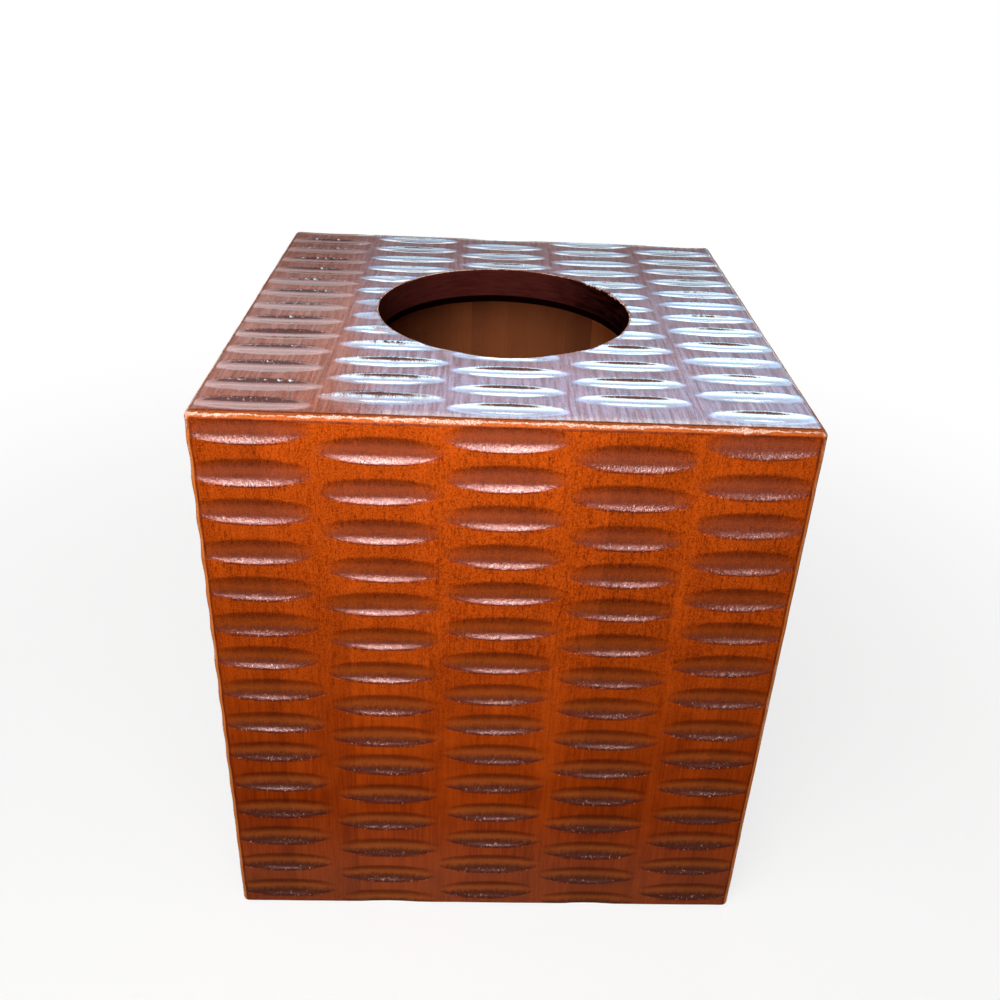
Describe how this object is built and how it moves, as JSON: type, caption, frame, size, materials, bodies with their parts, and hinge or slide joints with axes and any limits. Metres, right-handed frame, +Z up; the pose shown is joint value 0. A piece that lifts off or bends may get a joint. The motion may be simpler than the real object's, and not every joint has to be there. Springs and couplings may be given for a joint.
{
  "type": "tissue box cover",
  "caption": "Square wooden tissue box cover, mitred from glued-up staves, with a round opening on top and lens-shaped carved gouges all over; open below, it drops over a tissue box.",
  "frame": {"origin": "middle of the plane that the foot rests on", "axes": "+Z up through the round opening, -Y out of the front face, +X to the right as seen from the front"},
  "size_m": [0.135, 0.135, 0.15],
  "materials": {
    "stained_wood": "red-brown stain under gloss lacquer, darker in the gouges"
  },
  "bodies": {
    "root": {"front_stave_1": "stained_wood", "front_stave_2": "stained_wood", "front_stave_3": "stained_wood", "front_stave_4": "stained_wood", "front_stave_5": "stained_wood", "front_stave_6": "stained_wood", "front_stave_7": "stained_wood", "front_stave_8": "stained_wood", "right_stave_1": "stained_wood", "right_stave_2": "stained_wood", "right_stave_3": "stained_wood", "right_stave_4": "stained_wood", "right_stave_5": "stained_wood", "right_stave_6": "stained_wood", "right_stave_7": "stained_wood", "back_stave_1": "stained_wood", "back_stave_2": "stained_wood", "back_stave_3": "stained_wood", "back_stave_4": "stained_wood", "back_stave_5": "stained_wood", "back_stave_6": "stained_wood", "back_stave_7": "stained_wood", "back_stave_8": "stained_wood", "back_stave_9": "stained_wood", "left_stave_1": "stained_wood", "left_stave_2": "stained_wood", "left_stave_3": "stained_wood", "left_stave_4": "stained_wood", "left_stave_5": "stained_wood", "left_stave_6": "stained_wood", "left_stave_7": "stained_wood", "top_stave_1": "stained_wood", "top_stave_2": "stained_wood", "top_stave_3_back": "stained_wood", "top_stave_3_front": "stained_wood", "top_stave_4_back": "stained_wood", "top_stave_4_front": "stained_wood", "top_stave_5_back": "stained_wood", "top_stave_5_front": "stained_wood", "top_stave_6": "stained_wood", "top_stave_7": "stained_wood"}
  },
  "joints": []
}
